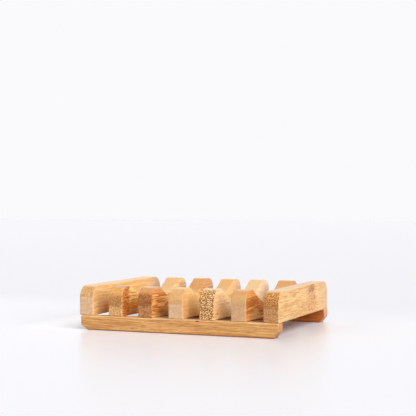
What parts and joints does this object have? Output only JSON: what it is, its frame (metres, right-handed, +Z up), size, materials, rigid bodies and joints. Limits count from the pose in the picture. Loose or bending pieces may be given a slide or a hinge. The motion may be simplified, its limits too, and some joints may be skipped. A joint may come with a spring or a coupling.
{
  "type": "soap dish",
  "caption": "Slatted bamboo soap dish: slats on edge across two rails, the inner ones scooped into a hollow for the soap, with open gaps between them to drain.",
  "frame": {"origin": "centre of the footprint, on the surface that the dish stands on", "axes": "+X along the rails, +Y along the slats from the front rail to the back rail, +Z up"},
  "size_m": [0.1208, 0.09, 0.025],
  "materials": {
    "rail_bamboo": "satin",
    "pale_bamboo": "satin",
    "tan_bamboo": "satin",
    "brown_bamboo": "satin",
    "brad_steel": "satin"
  },
  "bodies": {
    "root": {"front_rail": "rail_bamboo", "back_rail": "rail_bamboo", "left_end_slat": "pale_bamboo", "scooped_slat_1": "tan_bamboo", "scooped_slat_2": "brown_bamboo", "scooped_slat_3": "pale_bamboo", "scooped_slat_4": "pale_bamboo", "scooped_slat_5": "tan_bamboo", "right_end_slat": "pale_bamboo", "front_brads": "brad_steel", "back_brads": "brad_steel"}
  },
  "joints": []
}
